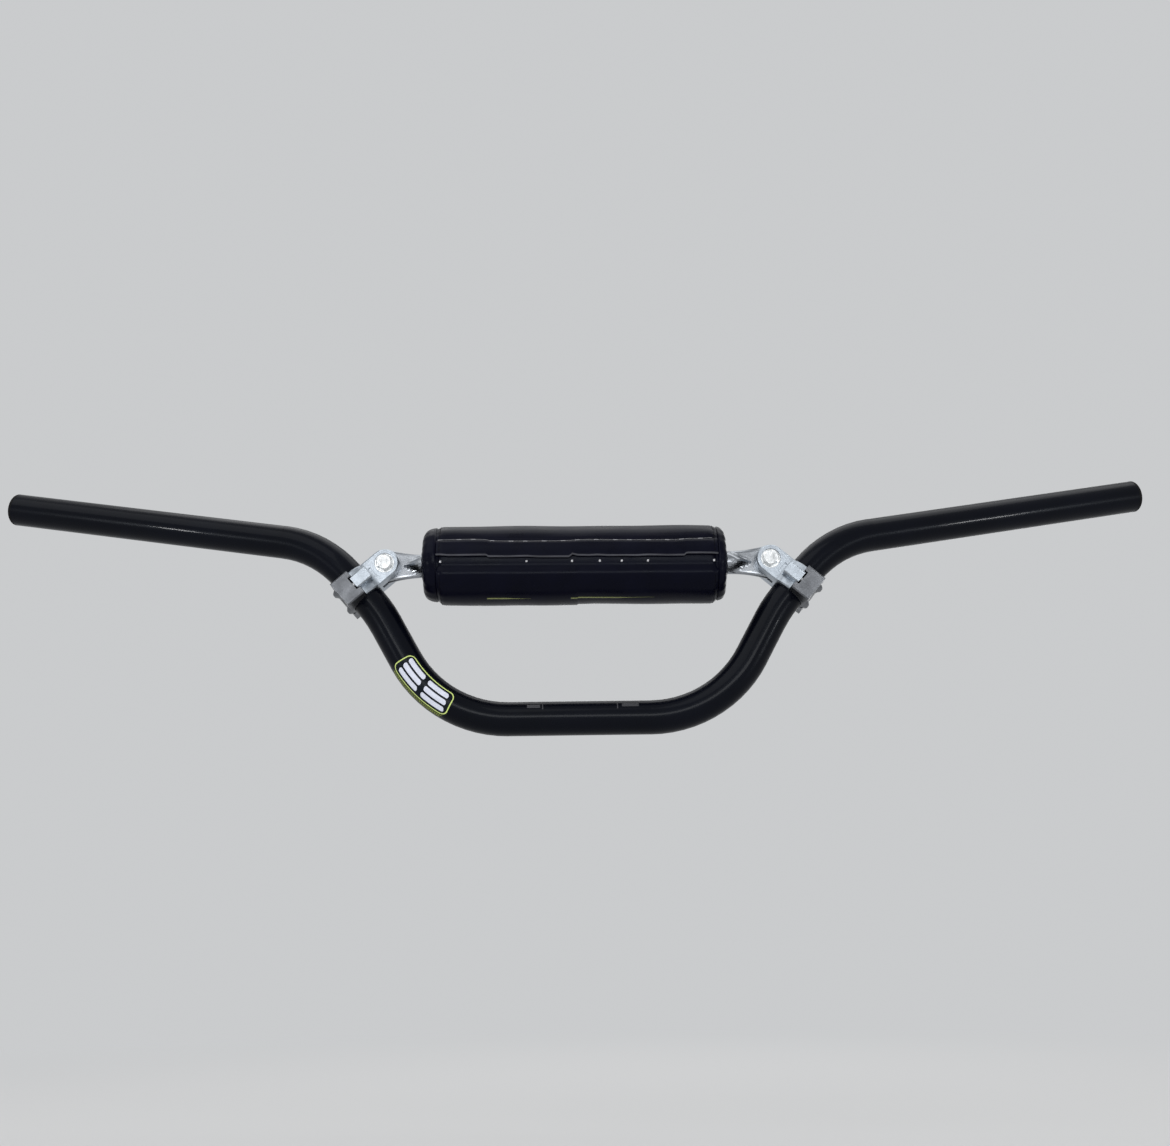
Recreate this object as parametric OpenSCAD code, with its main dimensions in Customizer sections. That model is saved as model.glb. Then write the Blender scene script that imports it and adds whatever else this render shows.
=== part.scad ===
// Braced motocross handlebar with a clamped crossbar and a wrap-around pad.
// X runs across the bar, Z goes up in the plane of its rise, +Y points back to the rider.
// The origin is the middle of the clamp zone, on the axis of the main tube.

/* [Main tube] */
// Outside diameter of the main tube
tube_d = 22.2; // [20:0.1:26]
// Wall thickness of the main tube
tube_wall = 4; // [2:0.1:5]
// Half of the straight length at the bottom
base_half = 46; // [35:1:80]
// Centreline radius of the lower bends
low_bend_r = 77; // [60:1:110]
// Angle of the diagonals above the horizontal
rise_angle = 61; // [55:0.5:66]
// Straight length of each diagonal
rise_len = 27.5; // [15:0.5:50]
// Centreline radius of the slight bend from a diagonal to its seat
ease_bend_r = 90; // [70:1:140]
// Angle above the horizontal of the seats that carry the clamps
seat_angle = 49; // [44:0.5:52]
// Straight length of each seat
seat_len = 24; // [20:0.5:40]
// Centreline radius of the upper bends
top_bend_r = 76; // [60:1:110]
// Angle of the arms above the horizontal
upsweep = 11; // [4:0.5:18]
// Angle of the arms toward the rider
pullback = 13; // [5:0.5:20]
// Straight length of each arm
arm_len = 208; // [150:1:260]

/* [Bar end plugs] */
// Thickness of the plug's head
plug_head_t = 2.4; // [1.5:0.1:5]
// Rounding of the edge of the plug's head
plug_edge_r = 1.2; // [0.5:0.1:1.4]
// Depth of the plug inside the tube
plug_depth = 16; // [8:0.5:30]
// Wall of the plug's hollow shank
plug_wall = 1.6; // [1:0.1:3]
// Number of ribs round the shank
plug_ribs = 3; // [1:1:5]
// Height of those ribs
plug_rib_h = 0.5; // [0.2:0.1:1]
// Clearance between the ribs and the bore of the tube
plug_gap = 0.05; // [0.02:0.01:0.2]

/* [Crossbar] */
// Outside diameter of the crossbar
cross_d = 15.9; // [12:0.1:18]
// Wall thickness of the crossbar
cross_wall = 2; // [1:0.1:3]
// Thickness of the pressed ends
paddle_t = 4; // [3:0.1:6]
// Height of the pressed ends
paddle_w = 23; // [20:0.5:26]
// Distance that a pressed end runs past its pivot
paddle_tip = 9.5; // [7:0.5:11]
// Distance from a pivot to the point of the pressed face
press_start = 11; // [10:0.5:16]
// Length over which the wall is pressed flat
press_len = 12; // [8:0.5:25]
// Further reach of the pressing along the upper and lower edges
press_reach = 11; // [4:0.5:20]

/* [Crossbar clamps] */
// Length of the clamp along the tube
clamp_w = 19; // [16:0.5:24]
// Wall of the clamp round the tube
clamp_wall = 3.6; // [2.5:0.1:6]
// Distance from the axis of the tube to the pivot
pivot_reach = 23.3; // [22:0.1:30]
// Thickness of each ear of the fork
ear_t = 8; // [5:0.1:10]
// Play of the pressed end in the fork, on each side
fork_gap = 0.2; // [0.1:0.05:0.5]
// Distance from the axis of the tube to the face where the clamp splits
split_u = 0.9; // [0:0.1:2]
// Gap between the body and the cap at that face
split_gap = 0.5; // [0.2:0.1:1.5]
// Width of the screw bosses on the body
boss_w = 8.8; // [8:0.1:10]
// Height of the screw boss on the body, above the split
boss_h = 9.8; // [7:0.1:12]
// Depth that the body's boss reaches past the split
tongue = 1.9; // [0.5:0.1:3]
// Gap between the bosses of body and cap
squeeze_gap = 1.2; // [0.6:0.1:4]
// Wall between a clamp screw's hole and the tube
screw_wall = 1.6; // [1:0.1:3]
// Wall in front of the recess of a clamp screw's head
recess_wall = 0.8; // [0.6:0.1:2]
// Width of the groove above each boss of the body
groove_w = 1.9; // [1:0.1:3]
// Length of that groove
groove_len = 7.8; // [5:0.1:9]
// Depth of that groove
groove_depth = 1.2; // [0.5:0.1:2]
// Height of the ribs on the edges of the cap
cap_rib_h = 2.7; // [1:0.1:4]
// Thickness of the cap between its ribs
cap_web = 1.8; // [1.5:0.1:3]
// Flat width of the tip of each rib
rib_land = 1.2; // [0.6:0.1:2]
// Chamfer on the clamp's edges
clamp_edge = 0.8; // [0.3:0.1:1.5]
// Radius of the fillets from the neck to the tube
neck_fillet = 5; // [2:0.5:8]
// Clearance of the clamp's bore on the tube
clamp_fit = 0.05; // [0.02:0.01:0.2]

/* [Fasteners] */
// Diameter of the clamp screws
screw_d = 5; // [4:0.5:5]
// Diameter of their heads
screw_head_d = 8.5; // [7:0.1:8.7]
// Height of their heads
screw_head_h = 5; // [3:0.1:6]
// Length of their shanks
screw_len = 16; // [12:0.5:16]
// Width across flats of their sockets
socket_af = 4; // [2.5:0.5:5]
// Diameter of the pivot bolts
bolt_d = 6; // [5:0.5:8]
// Width across flats of bolt heads and nuts
hex_af = 10; // [8:0.5:11]
// Height of the bolt heads, flange included
bolt_head_h = 4.6; // [3:0.1:6]
// Height of the nuts, flange included
nut_h = 6.4; // [5:0.1:8]
// Diameter of the flanges on bolt heads and nuts
flange_d = 12.8; // [11:0.1:13]
// Thickness of those flanges
flange_t = 1; // [0.6:0.1:1.5]
// Length of a pivot bolt past the end of its nut
bolt_past = 1.2; // [0.5:0.1:3]
// Depth of the counterbores round bolt heads and nuts
spot_depth = 1.5; // [0.5:0.1:3]
// Turn of the hexagons from the line of the clamp
hex_turn = 8; // [0:1:59]
// Clearance round a shank in its hole
hole_gap = 0.2; // [0.1:0.05:0.4]
// Clearance of a shank in its thread
thread_gap = 0.05; // [0.02:0.01:0.1]

/* [Pad] */
// Distance from each pivot to the end of the pad, as it sits in the middle
pad_end_gap = 25.26; // [20:0.1:50]
// Distance of the pad's middle to the right of the bar's middle
pad_shift = -2.1; // [-10:0.1:10]
// Outside diameter of the pad
pad_d = 50.4; // [44:0.2:60]
// Thickness of the cover's vinyl
vinyl_t = 1; // [0.6:0.1:1.5]
// Width of each gusset at the ends, up to its seam
gusset_w = 9; // [7:0.5:15]
// Rounding of the pad's ends
pad_round = 6; // [4:0.5:6.5]
// Thickness of the hook strip and of the loop strip
strip_t = 0.6; // [0.4:0.1:1]
// Gap between layers of the pad
layer_gap = 0.1; // [0.05:0.05:0.3]
// Gap between the foam and the crossbar
foam_gap = 0.3; // [0.2:0.05:1]
// Width of the slit that lets the foam and the gussets open
slit_w = 0.8; // [0.4:0.1:2]
// Angle of the flap's free edge above the front
flap_angle = 0; // [-10:1:30]
// Angle that the closure strips span
strip_angle = 38; // [25:1:45]

/* [Decal] */
// Thickness of the decal
decal_t = 0.2; // [0.1:0.05:0.5]
// Angle of the decal's lower end in the bend
decal_from = 28; // [20:0.5:30]
// Angle of the bend that the decal covers
decal_span = 32.5; // [15:0.5:35]
// Angle that the decal covers round the tube
decal_wrap = 112; // [60:2:160]
// Turn of the decal from the front to the outside of the bend
decal_turn = 20; // [0:1:40]
// Gap between the decal and the tube
decal_gap = 0.03; // [0.01:0.01:0.1]

/* [Hidden] */
$fn = 96;

RIGHT = 1;
LEFT = -1;
FRONT = 1;
BACK = -1;
tiny = 0.01;
// Pieces of one solid lap into each other, and the piece that goes in is this much slimmer
step = 0.05;
lap = 0.5;
far = 60;
ring_points = 40;

// Arm direction seen from the seat, which gives the upper bend its angle and its roll
arm_dir = [cos(pullback) * cos(upsweep), sin(pullback) * cos(upsweep), sin(upsweep)];
arm_along = arm_dir.x * cos(seat_angle) + arm_dir.z * sin(seat_angle);
arm_inward = arm_dir.z * cos(seat_angle) - arm_dir.x * sin(seat_angle);
arm_bend = acos(arm_along);
arm_roll = atan2(-arm_dir.y, arm_inward);

// Middle of the right seat and the pivot above it
tube_r = tube_d / 2;
seat_x = base_half + low_bend_r * sin(rise_angle) + rise_len * cos(rise_angle)
    + ease_bend_r * (sin(rise_angle) - sin(seat_angle)) + seat_len / 2 * cos(seat_angle);
seat_z = low_bend_r * (1 - cos(rise_angle)) + rise_len * sin(rise_angle)
    + ease_bend_r * (cos(seat_angle) - cos(rise_angle)) + seat_len / 2 * sin(seat_angle);
pivot_x = seat_x - pivot_reach * sin(seat_angle);
pivot_z = seat_z + pivot_reach * cos(seat_angle);

// Crossbar
cross_r = cross_d / 2;
press_span = press_start + press_len + press_reach;
tip_shift = paddle_w / 2 - paddle_tip;
paddle_swing = paddle_w / 2 - tip_shift * sin(seat_angle);

// Clamp
bore_r = tube_r + clamp_fit;
wrap_r = tube_r + clamp_wall;
fork_half = paddle_t / 2 + fork_gap;
neck_half = fork_half + ear_t;
slot_u = pivot_reach - paddle_swing - 2 * fork_gap;
cap_top_u = split_u - split_gap;
boss_top_u = split_u + boss_h;
tongue_u = split_u - tongue;
cap_boss_u = tongue_u - squeeze_gap;
screw_hole_r = screw_d / 2 + hole_gap;
screw_y = tube_r + screw_wall + screw_hole_r;
recess_r = screw_head_d / 2 + hole_gap;
boss_half = boss_w / 2;
boss_y = screw_y + recess_r + recess_wall;
groove_u = boss_top_u + 1.4 * groove_w;
cap_web_r = tube_r + cap_web;
rib_r = cap_web_r + cap_rib_h;
rib_out = clamp_w / 2 - 2 * clamp_edge;
rib_in = rib_out - rib_land;
scallop_r = (pow(rib_in, 2) + pow(cap_rib_h, 2)) / (2 * cap_rib_h);
cap_end_u = -cap_web_r - 0.3;
screw_seat_u = cap_end_u + screw_head_h + 0.2;
screw_tip_u = screw_seat_u + screw_len;

// Pivot bolt
bolt_seat = neck_half - spot_depth;
hex_r = hex_af / 2 / cos(30);

// Pad
pad_len = 2 * (pivot_x - pad_end_gap);
pad_r = pad_d / 2;
main_len = pad_len - 2 * gusset_w;
closure_depth = vinyl_t + 2 * strip_t + 3 * layer_gap;
under_r = pad_r - closure_depth;
foam_r = pad_r - vinyl_t - layer_gap;
hole_r = cross_r + foam_gap;
joggle_angle = 8;
joggle_lap = 1;
joggle_end = flap_angle - 19;
under_end = flap_angle + strip_angle + 8;

// Plug
plug_r = tube_r - tube_wall - plug_gap;

function smooth(t) = let (c = min(max(t, 0), 1)) c * c * (3 - 2 * c);
function mix(a, b, t) = a + (b - a) * t;

// Positions along the bent tube: each one puts its children at a point of the centreline,
// with local Z along the tube and local X toward the inside of the next bend
module after_bend(bend_r, angle) {
    translate([bend_r * (1 - cos(angle)), 0, bend_r * sin(angle)]) rotate([0, angle, 0]) children();
}
module at_base_end() { rotate([0, 90, 0]) rotate([0, 0, 180]) translate([0, 0, base_half]) children(); }
module at_rise() { at_base_end() after_bend(low_bend_r, rise_angle) children(); }
module at_ease() { at_rise() translate([0, 0, rise_len]) rotate([0, 0, 180]) children(); }
module at_seat_start() {
    at_ease() after_bend(ease_bend_r, rise_angle - seat_angle) rotate([0, 0, 180]) children();
}
module at_top_bend() { at_seat_start() translate([0, 0, seat_len]) rotate([0, 0, arm_roll]) children(); }
module at_arm() { at_top_bend() after_bend(top_bend_r, arm_bend) children(); }
module at_arm_end() { at_arm() translate([0, 0, arm_len]) children(); }

// One side of the bar: the right one as drawn, the left one mirrored
module on_side(side) {
    if (side == RIGHT) children();
    else mirror([1, 0, 0]) children();
}

// Frame of a clamp: X toward the pivot, Y to the front, Z along the tube
module at_seat(side) { on_side(side) at_seat_start() translate([0, 0, seat_len / 2]) children(); }
module at_pivot(side) { at_seat(side) translate([pivot_reach, 0, 0]) children(); }

module bend(bend_r, angle) {
    translate([bend_r, 0, 0]) rotate([90, 0, 0]) rotate([0, 0, 180 - angle])
        rotate_extrude(angle = angle) translate([bend_r, 0]) children();
}
module ring(outer, inner) {
    difference() {
        circle(r = outer);
        circle(r = inner);
    }
}
// A straight of the run, its ends reaching a little into the bends
module straight(length, r) {
    translate([0, 0, -lap]) cylinder(h = length + 2 * lap, r = r);
}
module half_run(r) {
    at_base_end() bend(low_bend_r, rise_angle) circle(r = r + step);
    at_rise() straight(rise_len, r);
    at_ease() bend(ease_bend_r, rise_angle - seat_angle) circle(r = r + step);
    at_seat_start() straight(seat_len, r);
    at_top_bend() bend(top_bend_r, arm_bend) circle(r = r + step);
    at_arm() straight(arm_len - lap, r);
}
module whole_run(r) {
    rotate([0, 90, 0]) cylinder(h = 2 * (base_half + lap), r = r, center = true);
    half_run(r);
    mirror([1, 0, 0]) half_run(r);
}
module handlebar_tube() {
    color("#17181b") difference() {
        whole_run(tube_r);
        union() {
            whole_run(tube_r - tube_wall);
            for (side = [LEFT, RIGHT]) on_side(side) at_arm_end() straight(plug_head_t, tube_r - tube_wall);
        }
    }
}

// Push-in plug: a head as wide as the tube and a hollow ribbed shank
module plug_profile() {
    rib_pitch = plug_depth / (plug_ribs + 1);
    difference() {
        union() {
            square([tube_r - plug_edge_r, plug_head_t]);
            square([tube_r, plug_head_t - plug_edge_r]);
            translate([tube_r - plug_edge_r, plug_head_t - plug_edge_r]) circle(r = plug_edge_r);
            translate([0, -plug_depth]) square([plug_r - plug_rib_h, plug_depth]);
            for (i = [1:plug_ribs]) translate([0, -i * rib_pitch]) polygon([[0, -rib_pitch / 3],
                [plug_r - plug_rib_h, -rib_pitch / 3], [plug_r, 0], [plug_r - plug_rib_h, 0], [0, 0]]);
        }
        translate([0, -plug_depth - 1]) square([plug_r - plug_rib_h - plug_wall, plug_depth + 1]);
        translate([-tube_r, -2 * plug_depth]) square([tube_r, 4 * plug_depth]);
    }
}
module bar_end_plug(side) {
    color("#0f0f10") on_side(side) at_arm_end() rotate_extrude() plug_profile();
}

// Crossbar: a round tube whose ends are pressed flat. At a distance d from the pivot,
// the pressing has gone further at the upper and lower edges than in the middle.
function pressed(d, a) =
    smooth((press_span - d - press_reach * (1 - abs(sin(a)))) / press_len);
function half_height(d) =
    mix(cross_r - step, paddle_w / 2, pow(min(max(1 - (d - tip_shift) / (press_span - 8 - tip_shift), 0), 1), 2));
function tip_trim(d) = d >= tip_shift ? 1
    : sqrt(max(1 - pow((tip_shift - d) / (paddle_w / 2), 2), 0));
// Quarter of a flat oval, by the share q of its length, as [depth, height]
function flat_oval(a, b, q) = let (
        flat = a - b,
        s = q * (flat + b * PI / 2),
        turn = max(s - flat, 0) / b * 180 / PI)
    s < flat ? [b, s] : [b * cos(turn), flat + b * sin(turn)];
function quarter_point(d, a, q) = let (
        m = pressed(d, a),
        high = half_height(d) * tip_trim(d),
        deep = mix(cross_r - step, paddle_t / 2, m),
        flat = flat_oval(max(high, deep + tiny), deep, q))
    [mix(deep * cos(a), flat[0], m), mix(high * sin(a), flat[1], m)];
function section_point(d, a) = let (
        around = a % 180,
        near = around > 90 ? 180 - around : around,
        p = quarter_point(d, near, near / 90))
    [(a > 90 && a < 270 ? -1 : 1) * p[0], (a > 180 ? -1 : 1) * p[1]];
function pressed_stations() = concat(
    [for (i = [0:16]) press_span * (1 - i / 16) + tip_shift * i / 16],
    [for (t = [15:15:60]) tip_shift - paddle_w / 2 * sin(t)], [-paddle_tip]);

module pressed_end() {
    stations = pressed_stations();
    n = ring_points;
    count = len(stations);
    points = [for (d = stations) for (i = [0:n - 1])
        let (p = section_point(d, (i + 0.5) * 360 / n)) [-d, p[0], p[1]]];
    sides = [for (k = [0:count - 2]) for (i = [0:n - 1]) let (j = (i + 1) % n)
        for (f = [[k * n + i, k * n + n + j, k * n + j], [k * n + i, k * n + n + i, k * n + n + j]]) f];
    first = [for (i = [1:n - 2]) [0, i, i + 1]];
    last = [for (i = [1:n - 2]) [(count - 1) * n, (count - 1) * n + i + 1, (count - 1) * n + i]];
    polyhedron(points = points, faces = concat(sides, first, last));
}
module crossbar_tube() {
    round_half = pivot_x - press_span + 1;
    color("#c9ccd0") translate([0, 0, pivot_z]) difference() {
        union() {
            rotate([0, 90, 0]) cylinder(h = 2 * round_half, r = cross_r, center = true);
            for (side = [LEFT, RIGHT]) on_side(side) translate([pivot_x, 0, 0]) pressed_end();
        }
        rotate([0, 90, 0]) cylinder(h = 2 * round_half - 6, r = cross_r - cross_wall, center = true);
        for (side = [LEFT, RIGHT]) translate([side * pivot_x, 0, 0]) rotate([90, 0, 0])
            cylinder(h = far, r = bolt_d / 2 + hole_gap, center = true);
    }
}

// Clamp: the body is a fork that carries the crossbar, and a ribbed cap closes it round the tube
module above(u) { translate([u, -far, -far]) cube([far, 2 * far, 2 * far]); }
module below(u) { translate([u - far, -far, -far]) cube([far, 2 * far, 2 * far]); }
module tube_bore() { cylinder(h = far, r = bore_r, center = true); }

module wrap() {
    half = clamp_w / 2;
    rotate_extrude() polygon([[0, -half], [wrap_r - clamp_edge, -half], [wrap_r, clamp_edge - half],
        [wrap_r, half - clamp_edge], [wrap_r - clamp_edge, half], [0, half]]);
}
// Neck and ears: a chamfered bar that ends round the pivot
module neck() {
    w = clamp_w / 2;
    c = clamp_edge;
    h = neck_half;
    rotate([0, 90, 0]) linear_extrude(height = pivot_reach) polygon([[-w, c - h], [c - w, -h], [w - c, -h],
        [w, c - h], [w, h - c], [w - c, h], [c - w, h], [-w, h - c]]);
    translate([pivot_reach, 0, 0]) rotate([90, 0, 0])
        rotate_extrude() polygon([[0, -h], [w - c, -h], [w, c - h], [w, h - c], [w - c, h], [0, h]]);
}
// Concave fillets where the neck meets the round wrap, in front and behind
module neck_fillets() {
    fy = neck_half + neck_fillet;
    fu = sqrt(pow(wrap_r + neck_fillet, 2) - pow(fy, 2));
    touch = wrap_r / (wrap_r + neck_fillet);
    for (side = [FRONT, BACK]) mirror([0, side == FRONT ? 0 : 1, 0])
        linear_extrude(height = clamp_w - 2 * clamp_edge, center = true) difference() {
            polygon([[0, 0], [fu * touch, fy * touch], [fu, fy], [fu, neck_half], [fu, 0]]);
            translate([fu, fy]) circle(r = neck_fillet);
        }
}
// Prisms of the screw bosses, in front and behind, between two distances from the tube's axis
module bosses(half, from_u, to_u) {
    c = clamp_edge;
    for (side = [FRONT, BACK]) mirror([0, side == FRONT ? 0 : 1, 0])
        translate([from_u, 0, 0]) rotate([0, 90, 0]) linear_extrude(height = to_u - from_u)
            polygon([[-half, tube_r / 2], [half, tube_r / 2], [half, boss_y - c],
                [half - c, boss_y], [c - half, boss_y], [-half, boss_y - c]]);
}
module along_screws() {
    for (side = [FRONT, BACK]) translate([0, side * screw_y, 0]) rotate([0, 90, 0]) children();
}
module clamp_body(side) {
    color("#e3e6e8") at_seat(side) difference() {
        union() {
            intersection() {
                union() {
                    wrap();
                    neck();
                    neck_fillets();
                }
                above(split_u);
            }
            bosses(boss_half, tongue_u, boss_top_u);
        }
        tube_bore();
        translate([slot_u, -fork_half, -far / 2]) cube([far, 2 * fork_half, far]);
        translate([pivot_reach, 0, 0]) rotate([90, 0, 0])
            cylinder(h = far, r = bolt_d / 2 + hole_gap, center = true);
        for (face = [FRONT, BACK]) translate([pivot_reach, face * (bolt_seat + far / 2), 0])
            rotate([90, 0, 0]) cylinder(h = far, r = flange_d / 2 + hole_gap, center = true);
        for (face = [FRONT, BACK]) translate([groove_u, face * (neck_half - groove_depth + far / 2), 0])
            cube([groove_w, far, groove_len], center = true);
        along_screws() translate([0, 0, tongue_u - 1])
            cylinder(h = screw_tip_u + 1.8 - tongue_u, r = screw_d / 2 + thread_gap);
    }
}

module cap_profile() {
    half = clamp_w / 2;
    difference() {
        polygon([[bore_r / 2, -half], [cap_web_r - clamp_edge, -half], [rib_r, -rib_out], [rib_r, rib_out],
            [cap_web_r - clamp_edge, half], [bore_r / 2, half]]);
        translate([cap_web_r + scallop_r, 0]) circle(r = scallop_r);
    }
}
module clamp_cap(side) {
    notch_half = boss_half + split_gap;
    color("#b4b8bc") at_seat(side) difference() {
        intersection() {
            union() {
                rotate_extrude() cap_profile();
                bosses(clamp_w / 2 - step, cap_end_u, tube_r);
            }
            below(cap_top_u);
        }
        translate([cap_boss_u, -far, -notch_half]) cube([far, 2 * far, 2 * notch_half]);
        tube_bore();
        along_screws() translate([0, 0, -far]) cylinder(h = 2 * far, r = screw_hole_r);
        along_screws() translate([0, 0, screw_seat_u - far]) cylinder(h = far, r = recess_r);
    }
}

// Socket-head screw, its head outward from the cap
module clamp_screw(side, face) {
    chamfer = 0.5;
    head_r = screw_head_d / 2;
    color("#c4c7ca") at_seat(side) translate([screw_seat_u, face * screw_y, 0]) rotate([0, 90, 0])
        difference() {
            rotate_extrude() polygon([[0, -screw_head_h], [head_r - chamfer, -screw_head_h],
                [head_r, chamfer - screw_head_h], [head_r, 0], [screw_d / 2, 0],
                [screw_d / 2, screw_len - chamfer], [screw_d / 2 - chamfer, screw_len], [0, screw_len]]);
            translate([0, 0, -screw_head_h - 1])
                cylinder(h = 1 + screw_head_h / 2, r = socket_af / 2 / cos(30), $fn = 6);
        }
}

// Flanged hexagon, its flange on the ear and its corners chamfered at the outer end
module flanged_hex(height) {
    cylinder(h = flange_t, r = flange_d / 2);
    rotate([0, 0, hex_turn]) intersection() {
        cylinder(h = height, r = hex_r, $fn = 6);
        rotate_extrude() polygon([[0, 0], [hex_r + tiny, 0], [hex_r + tiny, height - 0.7],
            [hex_af / 2 - 0.5, height], [0, height]]);
    }
}
module pivot_bolt(side) {
    shank = 2 * bolt_seat + nut_h + bolt_past;
    color("#e9ebec") at_pivot(side) translate([0, bolt_seat, 0]) rotate([-90, 0, 0]) {
        flanged_hex(bolt_head_h);
        translate([0, 0, -shank]) cylinder(h = shank, r = bolt_d / 2);
    }
}
module pivot_nut(side) {
    color("#d5d7d9") at_pivot(side) translate([0, -bolt_seat, 0]) rotate([90, 0, 0]) difference() {
        union() {
            flanged_hex(nut_h - 1.2);
            cylinder(h = nut_h, r = hex_af / 2 - 0.6);
        }
        translate([0, 0, -1]) cylinder(h = nut_h + 2, r = bolt_d / 2 + thread_gap);
    }
}

// Frame of the pad: X to the front, Y up, Z along the crossbar
module at_pad() { translate([pad_shift, 0, pivot_z]) rotate([90, 0, -90]) children(); }
module band(inner, thick, from_a, to_a, length) {
    rotate([0, 0, from_a]) rotate_extrude(angle = to_a - from_a)
        translate([inner, -length / 2]) square([thick, length]);
}
module slit(length) { translate([-far, -slit_w / 2, -length / 2]) cube([far, slit_w, length]); }

module foam_profile() {
    half = pad_len / 2 - vinyl_t - layer_gap;
    c = pad_round - vinyl_t - layer_gap;
    difference() {
        union() {
            translate([0, -half]) square([foam_r - c, 2 * half]);
            translate([0, c - half]) square([foam_r, 2 * (half - c)]);
            for (end = [-1, 1]) translate([foam_r - c, end * (half - c)]) circle(r = c);
        }
        translate([0, -half - 1]) square([hole_r, 2 * half + 2]);
    }
}
module pad_foam() {
    color("#3a3a3c") at_pad() difference() {
        rotate_extrude() foam_profile();
        slit(pad_len);
        band(under_r - vinyl_t - layer_gap, pad_r, joggle_end - joggle_angle - 4, under_end + 3, main_len);
    }
}
// Main panel: it starts at the flap's edge in front, runs over the top, round the back and
// under, steps inward and ends beneath the flap
module pad_cover() {
    inner = pad_r - vinyl_t;
    start = joggle_end - joggle_angle;
    function polar(r, a) = [r * cos(a), r * sin(a)];
    color("#0d0e14") at_pad() union() {
        band(inner, vinyl_t, flap_angle, 360 + start, main_len);
        linear_extrude(height = main_len - 2 * step, center = true) polygon([
            polar(inner + step, start - joggle_lap), polar(pad_r - step, start - joggle_lap),
            polar(under_r - step, joggle_end + joggle_lap),
            polar(under_r - vinyl_t + step, joggle_end + joggle_lap)]);
        band(under_r - vinyl_t, vinyl_t, joggle_end, under_end, main_len);
    }
}
module pad_loop_strip() {
    color("#202024") at_pad()
        band(under_r + layer_gap, strip_t, flap_angle + 2, flap_angle + 2 + strip_angle, main_len - 6);
}
module pad_hook_strip() {
    color("#26262a") at_pad() band(under_r + strip_t + 2 * layer_gap, strip_t,
        flap_angle + 2, flap_angle + 2 + strip_angle, main_len - 6);
}
module gusset_profile(shrink) {
    r = pad_r - shrink;
    h = gusset_w - shrink;
    c = pad_round - shrink;
    intersection() {
        translate([0, -shrink]) square([r, h + shrink]);
        union() {
            translate([0, -shrink]) square([r - c, h + shrink]);
            translate([0, -shrink]) square([r, h - c + shrink]);
            translate([r - c, h - c]) circle(r = c);
        }
    }
}
module pad_gusset(side) {
    color("#0b0c10") at_pad() mirror([0, 0, side == RIGHT ? 1 : 0]) difference() {
        translate([0, 0, main_len / 2]) rotate_extrude() difference() {
            gusset_profile(0);
            gusset_profile(vinyl_t);
            translate([0, -1]) square([hole_r, gusset_w + 2]);
        }
        slit(2 * pad_len);
    }
}

// Decal that lies round the front of the left lower bend
module decal_section() {
    inner = tube_r + step + decal_gap;
    from_a = decal_turn - 90 - decal_wrap / 2;
    wedge = [for (k = [0:4]) let (a = from_a + k * decal_wrap / 4) 2 * tube_r * [cos(a), sin(a)]];
    intersection() {
        ring(inner + decal_t, inner);
        polygon(concat([[0, 0]], wedge));
    }
}
module side_decal() {
    color("#c8e070") on_side(LEFT) at_base_end() after_bend(low_bend_r, decal_from)
        bend(low_bend_r, decal_span) decal_section();
}

handlebar_tube();
bar_end_plug(LEFT);  // bar_end_plug_left
bar_end_plug(RIGHT);  // bar_end_plug_right
crossbar_tube();
clamp_body(LEFT);  // clamp_body_left
clamp_body(RIGHT);  // clamp_body_right
clamp_cap(LEFT);  // clamp_cap_left
clamp_cap(RIGHT);  // clamp_cap_right
clamp_screw(LEFT, FRONT);  // clamp_screw_front_left
clamp_screw(RIGHT, FRONT);  // clamp_screw_front_right
clamp_screw(LEFT, BACK);  // clamp_screw_back_left
clamp_screw(RIGHT, BACK);  // clamp_screw_back_right
pivot_bolt(LEFT);  // pivot_bolt_left
pivot_bolt(RIGHT);  // pivot_bolt_right
pivot_nut(LEFT);  // pivot_nut_left
pivot_nut(RIGHT);  // pivot_nut_right
pad_foam();
pad_cover();
pad_gusset(LEFT);  // pad_gusset_left
pad_gusset(RIGHT);  // pad_gusset_right
pad_loop_strip();
pad_hook_strip();
side_decal();
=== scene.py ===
import math

import bpy
import numpy as np
from mathutils import Matrix, Vector


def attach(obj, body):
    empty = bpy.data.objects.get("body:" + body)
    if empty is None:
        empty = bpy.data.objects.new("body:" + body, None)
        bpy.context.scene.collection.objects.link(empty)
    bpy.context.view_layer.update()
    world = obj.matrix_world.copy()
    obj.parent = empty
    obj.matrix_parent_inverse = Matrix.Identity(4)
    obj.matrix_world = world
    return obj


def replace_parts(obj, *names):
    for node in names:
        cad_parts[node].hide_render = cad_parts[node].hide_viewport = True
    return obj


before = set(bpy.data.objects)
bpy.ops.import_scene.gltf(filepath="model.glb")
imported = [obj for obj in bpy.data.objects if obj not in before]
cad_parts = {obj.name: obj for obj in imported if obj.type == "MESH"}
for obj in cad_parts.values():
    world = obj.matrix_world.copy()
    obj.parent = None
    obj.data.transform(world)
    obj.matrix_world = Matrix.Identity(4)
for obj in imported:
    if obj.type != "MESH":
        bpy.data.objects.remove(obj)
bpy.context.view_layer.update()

MM = 0.001
BODY = "root"

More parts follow.
